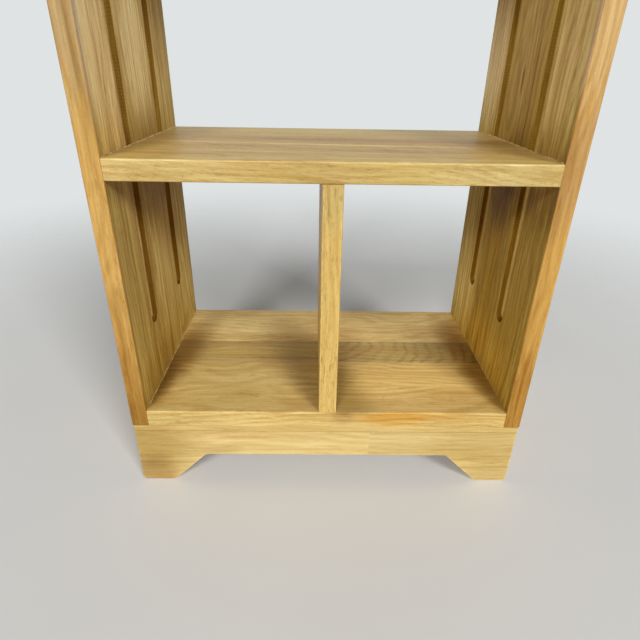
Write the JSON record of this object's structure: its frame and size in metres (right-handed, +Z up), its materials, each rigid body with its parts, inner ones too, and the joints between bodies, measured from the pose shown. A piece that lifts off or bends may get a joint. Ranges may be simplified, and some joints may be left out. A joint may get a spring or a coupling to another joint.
{
  "type": "bookcase",
  "caption": "Narrow open-backed wooden bookcase with slotted side panels, fixed shelves, a divided lowest bay and a plinth with an arched front.",
  "frame": {"origin": "on the floor, under the middle of the case", "axes": "+X along the width, to the right seen from the front; +Y from the front to the back; +Z up"},
  "size_m": [0.405, 0.238, 0.8403],
  "materials": {
    "side_wood": "satin",
    "shelf_wood": "satin",
    "divider_wood": "satin",
    "plinth_wood": "satin",
    "brace_wood": "bare",
    "dowel_wood": "bare",
    "screw_steel": "zinc plated"
  },
  "bodies": {
    "root": {"bottom_board": "shelf_wood", "bottom_board_dowel_left_back": "dowel_wood", "bottom_board_dowel_left_centre": "dowel_wood", "bottom_board_dowel_left_front": "dowel_wood", "bottom_board_dowel_right_back": "dowel_wood", "bottom_board_dowel_right_centre": "dowel_wood", "bottom_board_dowel_right_front": "dowel_wood", "brace_screw_back_left": "screw_steel", "brace_screw_back_right": "screw_steel", "brace_screw_front_left": "screw_steel", "brace_screw_front_right": "screw_steel", "corner_brace_back_left": "brace_wood", "corner_brace_back_right": "brace_wood", "corner_brace_front_left": "brace_wood", "corner_brace_front_right": "brace_wood", "divider": "divider_wood", "divider_dowel_lower_back": "dowel_wood", "divider_dowel_lower_front": "dowel_wood", "divider_dowel_upper_back": "dowel_wood", "divider_dowel_upper_front": "dowel_wood", "left_side_panel": "side_wood", "middle_shelf": "shelf_wood", "middle_shelf_dowel_left_back": "dowel_wood", "middle_shelf_dowel_left_centre": "dowel_wood", "middle_shelf_dowel_left_front": "dowel_wood", "middle_shelf_dowel_right_back": "dowel_wood", "middle_shelf_dowel_right_centre": "dowel_wood", "middle_shelf_dowel_right_front": "dowel_wood", "plinth_back": "plinth_wood", "plinth_front": "plinth_wood", "plinth_left": "plinth_wood", "plinth_right": "plinth_wood", "right_side_panel": "side_wood", "top_board": "shelf_wood", "top_board_dowel_left_back": "dowel_wood", "top_board_dowel_left_centre": "dowel_wood", "top_board_dowel_left_front": "dowel_wood", "top_board_dowel_right_back": "dowel_wood", "top_board_dowel_right_centre": "dowel_wood", "top_board_dowel_right_front": "dowel_wood", "upper_shelf": "shelf_wood", "upper_shelf_dowel_left_back": "dowel_wood", "upper_shelf_dowel_left_centre": "dowel_wood", "upper_shelf_dowel_left_front": "dowel_wood", "upper_shelf_dowel_right_back": "dowel_wood", "upper_shelf_dowel_right_centre": "dowel_wood", "upper_shelf_dowel_right_front": "dowel_wood"}
  },
  "joints": []
}
